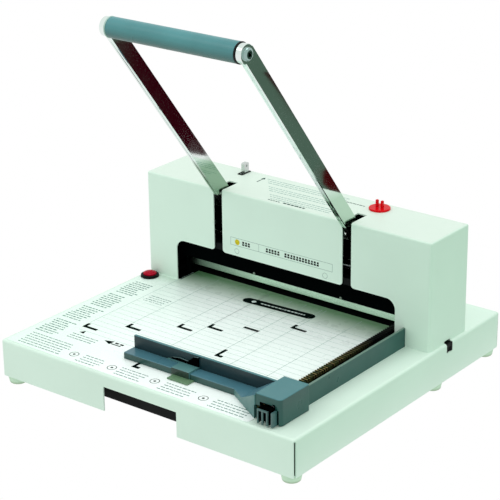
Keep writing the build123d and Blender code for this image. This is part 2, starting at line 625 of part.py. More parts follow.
def cam(side):
    """A plate cam whose radius grows evenly with the angle, so the roller sinks evenly."""
    rise = BLADE_TRAVEL / math.radians(HANDLE_SWING)
    reach = ROLLER_RADIUS + RUNNING_GAP
    edge = []
    for step in range(-2, 15):
        angle = math.radians(4.0 * step)
        radius = ROLLER_DROP + rise * angle
        out = (-math.sin(angle), -math.cos(angle))
        along = (-math.cos(angle), math.sin(angle))
        normal = (radius * out[0] - rise * along[0], radius * out[1] - rise * along[1])
        size = math.hypot(*normal)
        edge.append((radius * out[0] - reach * normal[0] / size, radius * out[1] - reach * normal[1] / size))
    x0 = min(side * CAM[0], side * CAM[1])
    curve = Spline(*[(x0, PIVOT_Y + y, PIVOT_Z + z) for y, z in edge])
    middle = (x0, PIVOT_Y, PIVOT_Z)
    outline = Wire([curve, Line(curve @ 1, middle), Line(middle, curve @ 0)])
    plate = extrude(Face(outline), CAM[1] - CAM[0], dir=(1, 0, 0))
    plate += rod_x(12.2, side * CAM[0], side * CAM[1], PIVOT_Y, PIVOT_Z)
    return plate - rod_x(SHAFT_RADIUS + FIT_GAP, -200, 200, PIVOT_Y, PIVOT_Z)


# ---- blade and clamp ---------------------------------------------------------------------------
BLADE_BACK = CUT_Y + 4.0
CARRIER = (BLADE_BACK + 0.05, 306.0, 26.0, 58.0)
ROLLER_Z = PIVOT_Z - ROLLER_DROP
BLADE_SCREWS = [-130.0, -65.0, 0.0, 65.0, 130.0]
LUG = (60.2, 63.8)                          # z range of the lugs that press the clamp springs
CLAMP_POCKET = 40.0                         # floor of the spring pockets in the clamp
CLAMP_SCREWS = [-55.5, 68.5]
CLAMP_SCREW_Z = 25.4


def blade_carrier():
    bar = block(-170, 170, *CARRIER)
    bar -= block(-150, 150, CARRIER[1] - 4, CARRIER[1] + 1, CARRIER[2] + 6, CARRIER[3] - 10)
    for side in (-1, 1):
        bar += block(side * 154.5, side * 166.5, CARRIER[0] + 2, CARRIER[1], CARRIER[3], LUG[1])
        bar += block(side * 154.5, side * 166.5, CLAMP[0] + 0.6, CARRIER[1], *LUG)
        bar += block(side * (SPRING_X - 6), side * (SPRING_X + 6), CARRIER[1], 318, 50, 54)
        bar -= rod_z(POST_RADIUS + RUNNING_GAP, side * POST_X, CARRIER_POST_Y, 0, 100)
        bar -= rod_z(POST_RADIUS + 0.3, side * POST_X, CLAMP_POST_Y, 0, 100)
        bar -= rod_x(3.0 + FIT_GAP, side * 165, side * 171, PIVOT_Y, ROLLER_Z)
    for x in BLADE_SCREWS:
        bar -= rod_y(2.5 + FIT_GAP, x, 290, 310, 45)
    return bar


def blade():
    edge = slab_x([(CUT_Y, BLADE_REST), (BLADE_BACK, BLADE_REST + 8), (BLADE_BACK, 57), (CUT_Y, 57)],
                  -157, 157)
    for x in BLADE_SCREWS:
        edge -= rod_y(2.5 + FIT_GAP, x, 290, 310, 45) + rod_y(4.6, x, 290, CUT_Y + 2.2, 45)
    return edge


def blade_screws():
    screws = []
    for x in BLADE_SCREWS:
        head = rod_y(4.4, x, CUT_Y + 0.1, CUT_Y + 2.15, 45) - rod_y(1.6, x, CUT_Y, CUT_Y + 1.5, 45)
        screws.append(head + rod_y(2.5, x, CUT_Y + 2.1, 301, 45))
    return screws


def cam_rollers():
    rollers = []
    for side in (-1, 1):
        roller = rod_x(ROLLER_RADIUS, side * CAM[0], side * CAM[1], PIVOT_Y, ROLLER_Z)
        roller = chamfer(roller.edges(), 0.4)
        rollers.append(roller - rod_x(3.0 + RUNNING_GAP, -200, 200, PIVOT_Y, ROLLER_Z))
    return rollers


def roller_pins():
    pins = []
    for side in (-1, 1):
        pin = rod_x(3.0, side * 165.2, side * (CAM[1] + 2.4), PIVOT_Y, ROLLER_Z)
        pins.append(pin + rod_x(4.6, side * (CAM[1] + 0.3), side * (CAM[1] + 2.4), PIVOT_Y, ROLLER_Z))
    return pins


def return_springs():
    return [coil(3.2, 0.9, side * SPRING_X, SPRING_Y, 54.05, TIE_BAR[2] - 0.05, 13) for side in (-1, 1)]


def clamp_bar():
    bar = block(-167.5, 167.5, *CLAMP, STACK + 8.0, 52)
    bar = fillet(bar.edges().filter_by(Axis.X).sort_by(Axis.Z)[-2:].sort_by(Axis.Y)[0], 3.0)
    for side in (-1, 1):
        bar -= block(side * 153, side * 168, CLAMP[0] - 1, CLAMP[1] + 1, CLAMP_POCKET, 60)
        bar -= rod_z(POST_RADIUS + RUNNING_GAP, side * POST_X, CLAMP_POST_Y, 0, 100)
    for x in CLAMP_SCREWS:
        bar -= rod_y(1.2 + FIT_GAP, x, 260, 281, CLAMP_SCREW_Z)
    return bar


def clamp_foot():
    foot_bar = block(-155, 154.5, CLAMP[0] - 0.4, CLAMP[1], STACK, STACK + 7.95)
    return chamfer(foot_bar.edges().filter_by(Axis.X).sort_by(Axis.Z)[:2], 0.6)


def clamp_screws():
    screws = []
    for x in CLAMP_SCREWS:
        head = rod_y(1.7, x, CLAMP[0] - 1.4, CLAMP[0] - 0.02, CLAMP_SCREW_Z)
        head = fillet(head.faces().sort_by(Axis.Y)[0].edges(), 0.6)
        screws.append(head + rod_y(1.2, x, CLAMP[0] - 0.1, 280, CLAMP_SCREW_Z))
    return screws


def clamp_springs():
    return [coil(4.4, 1.0, side * POST_X, CLAMP_POST_Y, CLAMP_POCKET + 0.05, LUG[0] - 0.05, 5)
            for side in (-1, 1)]


# ---- write every node --------------------------------------------------------------------------
os.makedirs("parts", exist_ok=True)

save("base_shell", base_shell())
save("bottom_plate", bottom_plate())
save("front_recess", front_recess())
save("bed_beam", bed_beam())
save("bed_sheet", bed_sheet())
save("cutting_stick", cutting_stick())
save("stick_pull", stick_pull())
for place, (foot_x, foot_y) in FOOT_PLACES.items():
    save(f"foot_{place}", Pos(foot_x, foot_y, -BASE_HEIGHT) * foot())
save("foot_screws", *[Pos(x, y, -BASE_HEIGHT) * foot_screw() for x, y in FOOT_PLACES.values()])

save("switch_bezel", switch_bezel())
save("switch_button", switch_button())
save("battery_box", battery_box())
save("battery_cover", battery_cover())
save("batteries", *batteries())
save("light_bar", light_bar())
save("light_lead", *light_lead())

save("side_fence", side_fence())
save("fence_rack", fence_rack())
save("gauge_bar", gauge_bar())
save("gauge_carriage", gauge_carriage())
save("gauge_lever", gauge_lever())
save("gauge_spring", gauge_spring())
save("gauge_clip", gauge_clip())

save("head_shell", head_shell())
save("rear_cover", rear_cover())
save("rear_screws", *rear_screws())
save("frame_screws", *frame_screws())
save("guide_posts", *guide_posts())
save("tie_bar", tie_bar())
save("lock_bezel", lock_bezel())
save("lock_lever", lock_lever())
save("clamp_knob", clamp_knob())

save("main_shaft", main_shaft())
save("shaft_bushes", *shaft_bushes())
save("hub_screws", *hub_screws())
save("handle_rod", handle_rod())
save("handle_grip", handle_grip())
save("grip_rings", *grip_rings())
save("handle_caps", *handle_caps())

save("blade_carrier", blade_carrier())
save("blade", blade())
save("blade_screws", *blade_screws())
save("cam_rollers", *cam_rollers())
save("roller_pins", *roller_pins())
save("clamp_bar", clamp_bar())
save("clamp_foot", clamp_foot())
save("clamp_screws", *clamp_screws())
save("clamp_springs", *clamp_springs())
save("return_springs", *return_springs())

for name, side in SIDES.items():
    save(f"side_frame_{name}", side_frame(side))
    save(f"handle_arm_{name}", handle_arm(side))
    save(f"cam_{name}", cam(side))
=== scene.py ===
import bmesh
import bpy
import json
import math
import random
from mathutils import Matrix, Vector


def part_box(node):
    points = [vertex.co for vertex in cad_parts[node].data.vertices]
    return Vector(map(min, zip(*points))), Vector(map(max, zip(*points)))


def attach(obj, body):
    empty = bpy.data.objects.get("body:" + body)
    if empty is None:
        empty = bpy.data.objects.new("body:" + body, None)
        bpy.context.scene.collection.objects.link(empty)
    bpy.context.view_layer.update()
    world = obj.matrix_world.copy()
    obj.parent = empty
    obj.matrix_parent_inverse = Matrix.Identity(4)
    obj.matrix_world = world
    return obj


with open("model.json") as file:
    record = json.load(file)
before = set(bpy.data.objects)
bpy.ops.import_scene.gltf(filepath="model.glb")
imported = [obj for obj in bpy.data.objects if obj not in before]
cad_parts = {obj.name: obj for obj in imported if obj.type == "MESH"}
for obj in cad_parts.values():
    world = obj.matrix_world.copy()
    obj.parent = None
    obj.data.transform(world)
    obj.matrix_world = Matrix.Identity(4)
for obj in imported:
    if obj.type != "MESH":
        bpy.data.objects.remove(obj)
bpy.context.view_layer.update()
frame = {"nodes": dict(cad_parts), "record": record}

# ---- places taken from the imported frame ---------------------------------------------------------
MM = 0.001
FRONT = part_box("base_shell")[0].y           # front face of the base
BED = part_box("base_shell")[1].z             # top of the base
SHEET_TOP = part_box("bed_sheet")[1].z        # printed sheet on the bed
SHEET_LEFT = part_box("bed_sheet")[0].x
SHEET_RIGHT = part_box("bed_sheet")[1].x
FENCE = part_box("fence_rack")[0].x           # face that squares the paper
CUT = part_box("blade")[0].y                  # plane of the cut
HEAD_LOW, HEAD_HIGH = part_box("head_shell")
BLOCK_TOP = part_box("gauge_carriage")[1].z
GRATE_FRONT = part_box("gauge_lever")[0].y    # ribbed front of the gauge
INK = 0.03 * MM                             # thickness of printed ink
INK_GAP = 0.01 * MM


def flat_point(x, y, z):
    """A point given in millimetres: x from the middle, y back from the base's front face, z above the bed."""
    return Vector((x * MM, FRONT + y * MM, BED + z * MM))


# ---- camera, stage and light --------------------------------------------------------------------
STUDIO_REACH = 9.0                          # half the width of the studio floor
BOUNCE_SPLIT = 0.24                         # x where the floor's returned light turns greener


def add_camera():
    data = bpy.data.cameras.new("camera")
    data.sensor_width = 36.0
    data.lens = 131.85
    data.clip_end = 20.0
    camera = bpy.data.objects.new("camera", data)
    turn = Matrix.Rotation(math.radians(38.063), 4, "Z")
    tilt = Matrix.Rotation(math.radians(90 - 21.725), 4, "X")
    roll = Matrix.Rotation(math.radians(-0.692), 4, "Z")
    camera.matrix_world = Matrix.Translation(flat_point(1164.4, -1294.45, 845.6)) @ turn @ tilt @ roll
    bpy.context.scene.collection.objects.link(camera)
    bpy.context.scene.camera = camera


def stage_plane(name, corners, height, material):
    """A flat studio patch that isn't part of the object."""
    mesh = bpy.data.meshes.new(name)
    mesh.from_pydata([(x, y, height) for x, y in corners], [], [tuple(range(len(corners)))])
    mesh.materials.append(material)
    plane = bpy.data.objects.new(name, mesh)
    bpy.context.scene.collection.objects.link(plane)
    return plane


def seen_only_by(plane, camera=False, mirror=False, diffuse=False):
    """Limits a studio plane to the rays that are named."""
    plane.visible_camera = camera
    plane.visible_glossy = mirror
    plane.visible_diffuse = diffuse
    plane.visible_shadow = False
    plane.visible_transmission = False


def plain_surface(name, color):
    """A studio surface that only glows, in one even colour."""
    material = bpy.data.materials.new(name)
    material.use_nodes = True
    shader = material.node_tree.nodes["Principled BSDF"]
    shader.inputs["Base Color"].default_value = (0, 0, 0, 1)
    shader.inputs["Roughness"].default_value = 0.9
    shader.inputs["Specular IOR Level"].default_value = 0.0
    shader.inputs["Emission Color"].default_value = (*color, 1)
    shader.inputs["Emission Strength"].default_value = 1.0
    return material


def floor_strip(left, right):
    """Corners of a strip of the studio floor, from front to back."""
    return [(left, -STUDIO_REACH), (right, -STUDIO_REACH), (right, STUDIO_REACH), (left, STUDIO_REACH)]


def add_stage():
    """A white floor, the light it returns, and the dark patches that the polished arms mirror."""
    white = plain_surface("studio_white", (1.0, 1.0, 1.0))
    whole = floor_strip(-STUDIO_REACH, STUDIO_REACH)
    seen_only_by(stage_plane("floor", whole, 0.0, white), camera=True, mirror=True)
    # light returned by the floor: softer than the white that is seen, and greener on the right
    bounce = plain_surface("studio_bounce", (0.66, 0.72, 0.68))
    bounce_right = plain_surface("studio_bounce_right", (0.24, 0.50, 0.33))
    left_part = floor_strip(-STUDIO_REACH, BOUNCE_SPLIT)
    right_part = floor_strip(BOUNCE_SPLIT, STUDIO_REACH)
    seen_only_by(stage_plane("bounce", left_part, 0.0, bounce), diffuse=True)
    seen_only_by(stage_plane("bounce_right", right_part, 0.0, bounce_right), diffuse=True)
    # the dark patches lie to the right and behind
    red = plain_surface("studio_dark_red", (0.030, 0.0008, 0.004))
    grey = plain_surface("studio_dark_grey", (0.085, 0.140, 0.105))
    deep_red = plain_surface("studio_deep_red", (0.055, 0.0006, 0.002))
    red_patch = [(0.335, 0.545), (0.405, 0.535), (0.90, 0.955), (0.86, 1.06), (0.55, 0.86)]
    grey_patch = [(0.395, 0.455), (0.43, 0.49), (1.25, 1.02), (1.25, 1.30), (0.86, 1.06), (0.90, 0.955),
                  (0.405, 0.535)]
    red_spot = [(0.445, 0.522), (0.478, 0.545), (0.508, 0.585), (0.528, 0.645), (0.468, 0.605),
                (0.418, 0.540)]
    seen_only_by(stage_plane("reflection_red", red_patch, 0.002, red), mirror=True)
    seen_only_by(stage_plane("reflection_grey", grey_patch, 0.002, grey), mirror=True)
    seen_only_by(stage_plane("reflection_red_spot", red_spot, 0.003, deep_red), mirror=True)


def add_area(name, place, target, size, power):
    data = bpy.data.lights.new(name, "AREA")
    data.shape = "DISK"
    data.size = size
    data.energy = power
    light = bpy.data.objects.new(name, data)
    light.location = place
    light.rotation_euler = (Vector(target) - Vector(place)).to_track_quat("-Z", "Y").to_euler()
    bpy.context.scene.collection.objects.link(light)


def add_light():
    world = bpy.data.worlds.new("studio")
    world.use_nodes = True
    background = world.node_tree.nodes["Background"]
    background.inputs["Color"].default_value = (0.96, 1.0, 0.98, 1)
    background.inputs["Strength"].default_value = 0.98
    bpy.context.scene.world = world
    add_area("key", (-1.2, -1.6, 2.6), (0, 0, 0.05), 1.6, 8)
    add_area("top", (0.3, 0.5, 2.6), (0, 0, 0.05), 1.8, 13)
    bpy.context.scene.view_settings.view_transform = "Standard"


# ---- material tools -----------------------------------------------------------------------------
class Surface:
    """A procedural material, built up by the functions below."""

    def __init__(self, name, color, roughness, metallic=0.0):
        self.material = bpy.data.materials.new(name)
        self.material.use_nodes = True
        self.tree = self.material.node_tree
        self.shader = self.tree.nodes["Principled BSDF"]
        self.shader.inputs["Base Color"].default_value = (*color, 1)
        self.shader.inputs["Roughness"].default_value = roughness
        self.shader.inputs["Metallic"].default_value = metallic
        self.place = self.tree.nodes.new("ShaderNodeTexCoord").outputs["Object"]
        self.height = None

    def node(self, kind, **settings):
        made = self.tree.nodes.new(kind)
        for key, value in settings.items():
            setattr(made, key, value)
        return made

    def feed(self, socket, value):
        if isinstance(value, bpy.types.NodeSocket):
            self.tree.links.new(value, socket)
        else:
            socket.default_value = value

    def noise(self, scale, detail=3.0, stretch=(1, 1, 1)):
        mapping = self.node("ShaderNodeMapping")
        mapping.inputs["Scale"].default_value = stretch
        self.feed(mapping.inputs["Vector"], self.place)
        texture = self.node("ShaderNodeTexNoise")
        texture.inputs["Scale"].default_value = scale
        texture.inputs["Detail"].default_value = detail
        self.feed(texture.inputs["Vector"], mapping.outputs["Vector"])
        return texture.outputs["Fac"]

    def spread(self, source, low, high, start=0.3, end=0.7):
        """Turns a 0 to 1 source into values from low to high."""
        node = self.node("ShaderNodeMapRange")
        for key, value in zip(("From Min", "From Max", "To Min", "To Max"), (start, end, low, high)):
            node.inputs[key].default_value = value
        self.feed(node.inputs["Value"], source)
        return node.outputs["Result"]

    def mix(self, factor, first, second):
        node = self.node("ShaderNodeMix", data_type="RGBA")
        self.feed(node.inputs[0], factor)
        self.feed(node.inputs[6], first if isinstance(first, bpy.types.NodeSocket) else (*first, 1))
        self.feed(node.inputs[7], second if isinstance(second, bpy.types.NodeSocket) else (*second, 1))
        return node.outputs[2]

    def color(self, socket):
        self.feed(self.shader.inputs["Base Color"], socket)
        return self

    def rough(self, socket):
        self.feed(self.shader.inputs["Roughness"], socket)
        return self

    def bump(self, source, depth, strength=1.0):
        node = self.node("ShaderNodeBump")
        node.inputs["Distance"].default_value = depth
        node.inputs["Strength"].default_value = strength
        self.feed(node.inputs["Height"], source)
        if self.height is not None:
            self.feed(node.inputs["Normal"], self.height)
        self.height = node.outputs["Normal"]
        self.feed(self.shader.inputs["Normal"], self.height)
        return self

    def part_of(self, axis, low, high):
        """1 where the place along an axis lies between low and high, in metres, and 0 elsewhere."""
        split = self.node("ShaderNodeSeparateXYZ")
        self.feed(split.inputs[0], self.place)
        above = self.node("ShaderNodeMath", operation="GREATER_THAN")
        below = self.node("ShaderNodeMath", operation="LESS_THAN")
        both = self.node("ShaderNodeMath", operation="MULTIPLY")
        for test, limit in ((above, low), (below, high)):
            self.feed(test.inputs[0], split.outputs[axis])
            test.inputs[1].default_value = limit
        self.feed(both.inputs[0], above.outputs[0])
        self.feed(both.inputs[1], below.outputs[0])
        return both.outputs[0]

    def both(self, first, second):
        node = self.node("ShaderNodeMath", operation="MULTIPLY")
        self.feed(node.inputs[0], first)
        self.feed(node.inputs[1], second)
        return node.outputs[0]

    def within(self, **spans):
        """1 where every named axis lies inside its span, in metres, and 0 elsewhere."""
        mask = None
        for axis, (low, high) in spans.items():
            part = self.part_of(axis.upper(), low, high)
            mask = part if mask is None else self.both(mask, part)
        return mask

    def along(self, axis, start, end, low=0.0, high=1.0):
        """A value that goes evenly from low to high between two places on an axis."""
        split = self.node("ShaderNodeSeparateXYZ")
        self.feed(split.inputs[0], self.place)
        return self.spread(split.outputs[axis], low, high, start, end)

    def facing(self, axis, least):
        """1 where the surface faces along an axis by more than the given share."""
        split = self.node("ShaderNodeSeparateXYZ")
        self.feed(split.inputs[0], self.node("ShaderNodeTexCoord").outputs["Normal"])
        test = self.node("ShaderNodeMath", operation="GREATER_THAN")
        self.feed(test.inputs[0], split.outputs[axis])
        test.inputs[1].default_value = least
        return test.outputs[0]

    def tint(self, mask, color):
        """Changes the colour where the mask is 1."""
        now = self.shader.inputs["Base Color"].links[0].from_socket
        return self.color(self.mix(mask, now, color))

    def paint_shade_black(self, mask):
        """Paints shade: makes the surface black, with no shine, where the mask is 1."""
        self.tint(mask, BLACK)
        shine = self.shader.inputs["Specular IOR Level"]
        node = self.node("ShaderNodeMix")
        self.feed(node.inputs[0], mask)
        self.feed(node.inputs[2], shine.links[0].from_socket if shine.links else shine.default_value)
        node.inputs[3].default_value = 0.0
        self.feed(shine, node.outputs[0])
        return self


def shade(color, factor):
    return tuple(channel * factor for channel in color)


# ---- materials ----------------------------------------------------------------------------------
PAINT = (0.70, 0.86, 0.755)
TEAL = (0.011, 0.078, 0.067)
# the gauge colours from here to the ramp's side are lit and shaded copies of its teal: painted light and
# painted shade
TEAL_LIT_TOP = (0.045, 0.178, 0.198)
TEAL_BLUE = (0.054, 0.165, 0.210)
TEAL_SHADED = (0.001, 0.020, 0.026)
TEAL_LIT_FRONT = (0.062, 0.130, 0.126)
TEAL_STEP_LIT = (0.046, 0.122, 0.124)
LEDGE_FRONT_SHADED = (0.016, 0.066, 0.058)
RAMP_SIDE_LIT = (0.045, 0.160, 0.150)
BLACK = (0.001, 0.0015, 0.0015)
ALONG_X = (0.02, 1, 1)                      # directions of ground and turned marks
ALONG_Y = (1, 0.02, 1)
ALONG_Z = (1, 1, 0.02)
TURNED = (1, 0.3, 0.3)


def painted_steel(name):
    """Satin powder coat: fine orange peel, faint cloudiness and slightly uneven gloss."""
    surface = Surface(name, PAINT, 0.42)
    cloud = surface.noise(9.0, 4.0)
    surface.color(surface.mix(surface.spread(cloud, 0, 1), shade(PAINT, 0.965), shade(PAINT, 1.02)))
    surface.rough(surface.spread(surface.noise(60.0), 0.36, 0.50))
    surface.bump(surface.noise(900.0, 2.0), 0.05 * MM, 0.35)
    return surface


def head_paint():
    """The coat of the head outside, with painted shade on its top, and painted black shade on every inner
    face and on the sheet's inner half.
    """
    surface = painted_steel("head_coat")
    skin = 1.35 * MM
    # painted shade on the top of the head
    surface.tint(surface.within(z=(HEAD_HIGH.z - 0.3 * MM, 1)), (0.655, 0.765, 0.680))
    # painted shade: black on the inner faces
    return surface.paint_shade_black(surface.within(x=(HEAD_LOW.x + skin, HEAD_HIGH.x - skin),
                                          y=(HEAD_LOW.y + skin, 1),
                                          z=(-1, HEAD_HIGH.z - skin)))


def base_paint():
    """The coat of the base, and painted black shade where its top is closed in by the head."""
    surface = painted_steel("base_coat")
    # painted shade: black under the head
    return surface.paint_shade_black(surface.within(x=(HEAD_LOW.x + 3 * MM, HEAD_HIGH.x - 3 * MM),
                                          y=(HEAD_LOW.y + 1.6 * MM, HEAD_HIGH.y - 2 * MM),
                                          z=(BED - 2 * MM, 1)))


def moulded(name, color, roughness=0.42, texture=1400.0, depth=0.03, shine=0.5):
    """Moulded plastic: spark-eroded grain, faint flow clouding, rubbed patches."""
    surface = Surface(name, color, roughness)
    surface.shader.inputs["Specular IOR Level"].default_value = shine
    cloud = surface.noise(14.0, 5.0)
    surface.color(surface.mix(surface.spread(cloud, 0, 1), shade(color, 0.86), shade(color, 1.12)))
    surface.rough(surface.spread(surface.noise(35.0), roughness - 0.07, roughness + 0.09))
    surface.bump(surface.noise(texture, 2.0), depth * MM, 0.4)
    return surface


def polished_steel(name="plated_bar"):
    """Bright plated bar: mirror finish with fine lengthwise polishing marks and a few hazy patches."""
    color = (0.80, 0.87, 0.84)
    surface = Surface(name, color, 0.07, 1.0)
    haze = surface.noise(26.0, 5.0)
    surface.color(surface.mix(surface.spread(haze, 0, 1), shade(color, 0.93), color))
    surface.rough(surface.spread(haze, 0.025, 0.075))
    surface.bump(surface.noise(1500.0, 2.0, (1, 0.05, 0.05)), 0.001 * MM, 0.05)
    return surface


def cap_steel():
    """Bright cap screws with painted black shade in the socket, and the right cap painted darker as a painted
    reflection.
    """
    surface = polished_steel("plated_cap")
    # painted reflection: the right cap is darkened
    surface.tint(surface.within(x=(0, 1)), (0.30, 0.42, 0.40))
    low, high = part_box("handle_caps")
    middle = (low + high) / 2
    socket = 2.4 * MM
    # painted shade: black in the middle of each cap, where the socket is
    return surface.tint(surface.within(y=(middle.y - socket, middle.y + socket),
                                       z=(middle.z - socket, middle.z + socket)), BLACK)


def grip_ring():
    """Black end ring on the right, pale one on the left."""
    surface = moulded("grip_ring", BLACK, 0.4, shine=0.2)
    return surface.tint(surface.within(x=(-1, 0)), (0.42, 0.58, 0.53))


def gauge_carriage_moulding():
    """Its top is painted paler and its front lighter, as painted light; the pocket behind the grate is
    painted black, as painted shade.
    """
    surface = moulded("carriage_moulding", TEAL, 0.34)
    # painted light on the top
    surface.tint(surface.within(z=(BLOCK_TOP - 0.7 * MM, 1)), TEAL_LIT_TOP)
    # painted light on the front, in a wide step and a narrow front strip
    surface.tint(surface.within(y=(-1, GRATE_FRONT + 7.5 * MM)), TEAL_STEP_LIT)
    surface.tint(surface.within(y=(-1, GRATE_FRONT + 0.3 * MM)), TEAL_LIT_FRONT)
    pocket_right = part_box("gauge_carriage")[1].x - 3.2 * MM
    # painted shade: black in the pocket behind the grate
    return surface.paint_shade_black(surface.within(x=(FENCE, pocket_right),
                                          y=(GRATE_FRONT + 8.3 * MM, GRATE_FRONT + 25 * MM),
                                          z=(-1, BED + 21.8 * MM)))


def gauge_lever_moulding():
    """Ribs painted pale as painted light, in front of a box painted black as painted shade."""
    # painted light: the ribs take the lit front colour
    surface = moulded("lever_moulding", TEAL_LIT_FRONT, 0.34)
    # painted shade: black behind the ribs
    return surface.paint_shade_black(surface.within(y=(GRATE_FRONT + 2.0 * MM, 1)))


def gauge_bar_moulding():
    """Blue ledge with a front painted dark as painted shade, an upright further back painted dark as painted
    shade with its top painted pale as painted light, and a ramp up to the carriage whose sides and upward
    faces are painted lighter as painted light.
    """
    bar_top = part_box("gauge_bar")[1].z
    ledge_end = 94 * MM
    upright = FRONT + 59 * MM
    surface = moulded("gauge_bar_moulding", TEAL_BLUE, 0.34)
    # painted shade on the ledge's front
    surface.tint(surface.within(x=(-1, ledge_end), y=(-1, FRONT + 43.3 * MM)), LEDGE_FRONT_SHADED)
    ramp = surface.within(x=(ledge_end, 1), y=(-1, upright))
    # painted light on the ramp's sides
    surface.tint(ramp, RAMP_SIDE_LIT)
    # painted light on the ramp's upward faces
    surface.tint(surface.both(ramp, surface.facing("Z", 0.5)), TEAL_BLUE)
    # painted shade on the upright's front
    surface.tint(surface.within(y=(upright, 1), z=(-1, bar_top)), TEAL_SHADED)
    # painted light on the upright's top
    surface.tint(surface.within(y=(upright, 1), z=(BED + 22.2 * MM, 1)), TEAL_LIT_TOP)
    return surface


def gauge_clip_moulding():
    """Teal top, a front painted dark as painted shade, a green flange on the bed, and a fin painted black as
    painted shade, with painted highlights on its upward faces.
    """
    flange_top = BED + 2.3 * MM
    surface = moulded("clip_moulding", (0.080, 0.215, 0.215), 0.34)
    # painted shade on the front
    surface.tint(surface.within(y=(-1, FRONT + 41.6 * MM), z=(flange_top, 1)), (0.010, 0.032, 0.020))
    surface.tint(surface.within(z=(-1, flange_top)), (0.115, 0.225, 0.120))
    fin = surface.within(y=(FRONT + 57.4 * MM, 1), z=(BED + 10.1 * MM, 1))
    # painted shade: the fin is black
    surface.paint_shade_black(fin)
    # painted highlights on the fin's upward faces
    return surface.tint(surface.both(fin, surface.facing("Z", 0.25)), (0.120, 0.190, 0.190))


def fence_moulding():
    """Side fence with a painted highlight along its top edge, and painted black shade in the channel between
    the rack and the wall.
    """
    surface = moulded("fence_moulding", TEAL, 0.34)
    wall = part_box("side_fence")[1]
    # painted highlight along the top edge
    surface.tint(surface.within(z=(wall.z - 0.5 * MM, 1)), (0.115, 0.200, 0.160))
    # painted shade: black in the channel
    return surface.paint_shade_black(surface.within(x=(-1, wall.x - 2.9 * MM)))


def rack_moulding():
    """Dark teeth with golden-brown painted highlights on their crests and ends, and random paler patches of
    wear; these fade out toward the head, where the rack is painted black as painted shade.
    """
    surface = moulded("rack_moulding", (0.004, 0.004, 0.002), 0.45, shine=0.12)
    crests = surface.both(surface.within(z=(BED + 13.2 * MM, 1)), surface.facing("Z", 0.4))
    ends = surface.both(surface.within(z=(BED + 12.0 * MM, 1)), surface.facing("X", 0.9))
    patches = surface.spread(surface.noise(150.0, 1.0), 0, 1, 0.50, 0.56)
    shade_start = FRONT + 215 * MM
    # painted light, with the wear patches: full toward the front, fading to none toward the head
    light_and_wear = surface.along("Y", FRONT + 130 * MM, shade_start, 1.0, 0.0)
    # painted highlights on the crests
    surface.tint(surface.both(crests, light_and_wear), (0.260, 0.200, 0.070))
    # painted highlights on the tooth ends
    surface.tint(surface.both(ends, light_and_wear), (0.110, 0.090, 0.030))
    surface.tint(surface.both(patches, light_and_wear), (0.030, 0.042, 0.012))
    # painted shade: black toward the head
    return surface.tint(surface.within(y=(shade_start, 1)), BLACK)


def arm_steel():
    """Polished arms with a painted darker reflection just above the head, darker again on the left arm, and
    painted black shade, rough, where they run inside it.
    """
    surface = polished_steel()
    buried = surface.within(z=(-1, HEAD_HIGH.z - 6 * MM))
    dim_reflection = surface.along("Z", HEAD_HIGH.z + 34 * MM, HEAD_HIGH.z + 48 * MM, 1.0, 0.0)
    # painted reflection: darker just above the head
    surface.tint(dim_reflection, (0.54, 0.67, 0.57))
    # painted reflection: darker still on the left arm
    surface.tint(surface.both(dim_reflection, surface.within(x=(-1, 0))), (0.30, 0.42, 0.32))
    # painted shade: black inside the head
    surface.tint(buried, BLACK)
    gloss = surface.node("ShaderNodeMix")
    surface.feed(gloss.inputs[0], buried)
    surface.feed(gloss.inputs[2], surface.shader.inputs["Roughness"].links[0].from_socket)
    gloss.inputs[3].default_value = 0.6
    surface.rough(gloss.outputs[0])
    return surface


def machined(name, color, roughness, stretch):
    """Ground or turned steel, with marks drawn out along one direction."""
    surface = Surface(name, color, roughness, 1.0)
    marks = surface.noise(2200.0, 3.0, stretch)
    surface.color(surface.mix(surface.spread(surface.noise(20.0, 4.0), 0, 1), shade(color, 0.85), color))
    surface.rough(surface.spread(marks, roughness - 0.06, roughness + 0.10))
    surface.bump(marks, 0.02 * MM, 0.35)
    return surface


def soft_grip():
    """Grey-blue foam-backed sleeve with a fine leathery skin, and painted shade underneath."""
    color = (0.062, 0.245, 0.262)
    surface = Surface("grip_sleeve", color, 0.34)
    surface.color(surface.mix(surface.spread(surface.noise(18.0, 5.0), 0, 1), shade(color, 0.88),
                              shade(color, 1.10)))
    low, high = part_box("handle_grip")
    shaded_to = low.z + 0.6 * (high.z - low.z)
    # painted shade on the underside
    surface.tint(surface.along("Z", low.z, shaded_to, 0.95, 0.0), (0.006, 0.058, 0.044))
    surface.rough(surface.spread(surface.noise(55.0), 0.27, 0.42))
    surface.bump(surface.noise(1100.0, 4.0), 0.04 * MM, 0.4)
    return surface


def glossy_red(name, color, glow):
    """Polished red moulding, with a little glow added as painted light."""
    surface = Surface(name, color, 0.22)
    surface.shader.inputs["Specular IOR Level"].default_value = 0.10
    surface.color(surface.mix(surface.spread(surface.noise(120.0, 3.0), 0, 1), shade(color, 0.88), color))
    surface.rough(surface.spread(surface.noise(90.0), 0.16, 0.30))
    surface.bump(surface.noise(1300.0, 2.0), 0.02 * MM, 0.25)
    # painted light: the glow brightens the red
    surface.shader.inputs["Emission Color"].default_value = (*color, 1)
    surface.shader.inputs["Emission Strength"].default_value = glow
    return surface


